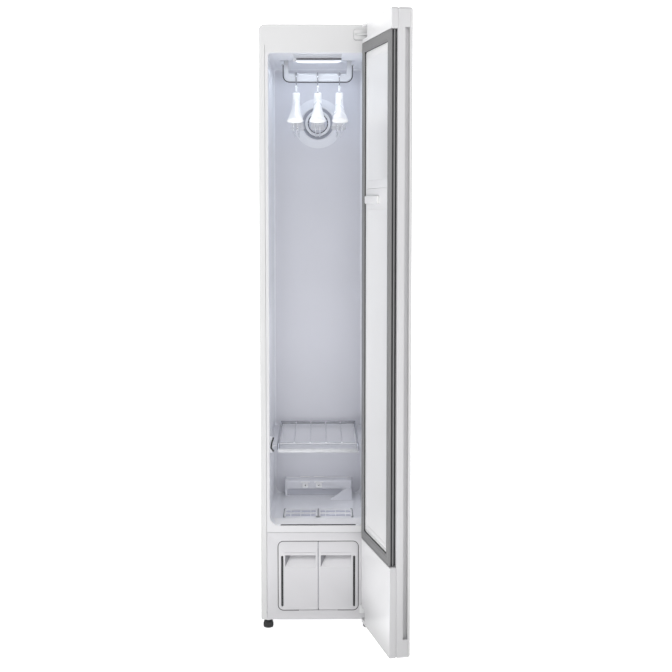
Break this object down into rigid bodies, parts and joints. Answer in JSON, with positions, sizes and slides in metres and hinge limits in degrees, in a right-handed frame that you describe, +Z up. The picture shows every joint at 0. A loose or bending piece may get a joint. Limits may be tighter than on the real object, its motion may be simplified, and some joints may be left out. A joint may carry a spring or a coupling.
{
  "type": "clothes care steam cabinet",
  "caption": "Slim upright steam cabinet for clothes: hinged door with a trouser press, lit cavity with moving hanger bar, wire shelf, floor filters and slide-out water tanks below.",
  "frame": {"origin": "on the floor, under the middle of the cabinet body's footprint", "axes": "+X to the user's right, the front faces -Y, +Z up; the door is at rest standing open"},
  "size_m": [0.4367, 0.8967, 1.85],
  "materials": {
    "casing_steel": "white powder coat",
    "cap_white": "satin white moulding",
    "liner_pale": "pale cool white, satin",
    "front_white": "fine satin",
    "bay_grey": "moulded grey",
    "tank_smoke": "smoked clear plastic",
    "galvanised": "galvanised sheet",
    "vent_grey": "satin",
    "fan_dark": "moulded dark grey",
    "lamp_clear": "frosted",
    "machine_black": "black enamel",
    "drive_grey": "moulded grey",
    "fin_aluminium": "bare fins",
    "steel_rod": "ground bar",
    "chrome_wire": "bright chrome",
    "bracket_steel": "grey coat",
    "door_gloss": "high gloss white",
    "door_white": "satin white",
    "gasket_grey": "soft grey",
    "bush_black": "black",
    "board_green": "coated circuit board",
    "hanger_white": "satin white",
    "trim_dark": "dark trim",
    "foot_rubber": "black rubber",
    "filter_white": "moulded white"
  },
  "bodies": {
    "cabinet": {"side_panel_left": "casing_steel", "side_panel_right": "casing_steel", "top_cap": "cap_white", "rear_panel": "galvanised", "base_plate": "galvanised", "cavity_liner": "liner_pale", "lower_front_panel": "front_white", "tank_bay": "bay_grey", "vent_ring": "vent_grey", "fan_motor": "machine_black", "air_duct": "drive_grey", "drive_chassis": "galvanised", "guide_rods": "steel_rod", "drive_unit": "drive_grey", "ceiling_lamp": "lamp_clear", "floor_tray": "liner_pale", "steam_module": "liner_pale", "steam_nozzles": "filter_white", "steam_generator": "drive_grey", "water_pumps": "machine_black", "compressor": "machine_black", "heat_pump_case": "drive_grey", "heat_exchangers": "fin_aluminium", "control_case": "drive_grey", "hinge_brackets": "bracket_steel", "hinge_cover": "cap_white", "shelf_rails": "filter_white", "cord_gland": "bush_black", "casing_screws": "steel_rod"},
    "door": {"door_front_panel": "door_gloss", "door_frame": "door_white", "door_liner": "door_white", "door_gasket": "gasket_grey", "touch_board": "board_green", "hinge_bushes": "bush_black", "press_pins": "steel_rod"},
    "press": {"press_board": "door_white", "press_handle": "door_white"},
    "bar": {"hanger_bar": "hanger_white", "bar_trim": "trim_dark", "bar_carriage": "drive_grey"},
    "hanger_1": {"hanger_body_1": "hanger_white", "hanger_hook_1": "chrome_wire"},
    "hanger_2": {"hanger_body_2": "hanger_white", "hanger_hook_2": "chrome_wire"},
    "hanger_3": {"hanger_body_3": "hanger_white", "hanger_hook_3": "chrome_wire"},
    "shelf": {"wire_shelf": "chrome_wire"},
    "supply_tank": {"supply_tank_front": "front_white", "supply_tank_body": "tank_smoke"},
    "drain_tank": {"drain_tank_front": "front_white", "drain_tank_body": "tank_smoke"},
    "lint_cassette": {"lint_filter": "filter_white"},
    "fragrance_cassette": {"fragrance_filter": "filter_white"},
    "fan": {"fan_impeller": "fan_dark"},
    "foot_front_left": {"foot_1": "foot_rubber"},
    "foot_front_right": {"foot_2": "foot_rubber"},
    "foot_rear_right": {"foot_3": "foot_rubber"},
    "foot_rear_left": {"foot_4": "foot_rubber"}
  },
  "joints": [
    {"name": "door_hinge", "type": "hinge", "parent": "cabinet", "child": "door", "pos_m": [0.161, -0.291, 0.94], "axis": [0, 0, 1], "range_deg": [-101.6, 18.4]},
    {"name": "press_hinge", "type": "hinge", "parent": "door", "child": "press", "pos_m": [0.2003, -0.57694, 0.85], "axis": [0, 0, 1], "range_deg": [0, 85]},
    {"name": "bar_slide", "type": "slide", "parent": "cabinet", "child": "bar", "axis": [1, 0, 0], "range_m": [-0.01, 0.01]},
    {"name": "hanger_swing_1", "type": "hinge", "parent": "bar", "child": "hanger_1", "pos_m": [-0.068, -0.046, 1.721], "axis": [1, 0, 0], "range_deg": [-9, 9]},
    {"name": "hanger_swing_2", "type": "hinge", "parent": "bar", "child": "hanger_2", "pos_m": [0, -0.046, 1.721], "axis": [1, 0, 0], "range_deg": [-9, 9]},
    {"name": "hanger_swing_3", "type": "hinge", "parent": "bar", "child": "hanger_3", "pos_m": [0.068, -0.046, 1.721], "axis": [1, 0, 0], "range_deg": [-9, 9]},
    {"name": "shelf_slide", "type": "slide", "parent": "cabinet", "child": "shelf", "axis": [0, -1, 0], "range_m": [0, 0.3]},
    {"name": "supply_tank_slide", "type": "slide", "parent": "cabinet", "child": "supply_tank", "axis": [0, -1, 0], "range_m": [0, 0.255]},
    {"name": "drain_tank_slide", "type": "slide", "parent": "cabinet", "child": "drain_tank", "axis": [0, -1, 0], "range_m": [0, 0.255]},
    {"name": "lint_filter_lift", "type": "slide", "parent": "cabinet", "child": "lint_cassette", "axis": [0, 0, 1], "range_m": [0, 0.12]},
    {"name": "fragrance_filter_lift", "type": "slide", "parent": "cabinet", "child": "fragrance_cassette", "axis": [0, 0, 1], "range_m": [0, 0.12]},
    {"name": "fan_spin", "type": "hinge", "parent": "cabinet", "child": "fan", "pos_m": [0, 0.194, 1.584], "axis": [0, 1, 0], "continuous": true},
    {"name": "foot_front_left_turn", "type": "hinge", "parent": "cabinet", "child": "foot_front_left", "pos_m": [-0.1555, -0.232, 0], "axis": [0, 0, 1], "continuous": true},
    {"name": "foot_front_right_turn", "type": "hinge", "parent": "cabinet", "child": "foot_front_right", "pos_m": [0.1555, -0.232, 0], "axis": [0, 0, 1], "continuous": true},
    {"name": "foot_rear_right_turn", "type": "hinge", "parent": "cabinet", "child": "foot_rear_right", "pos_m": [0.1555, 0.232, 0], "axis": [0, 0, 1], "continuous": true},
    {"name": "foot_rear_left_turn", "type": "hinge", "parent": "cabinet", "child": "foot_rear_left", "pos_m": [-0.1555, 0.232, 0], "axis": [0, 0, 1], "continuous": true}
  ]
}
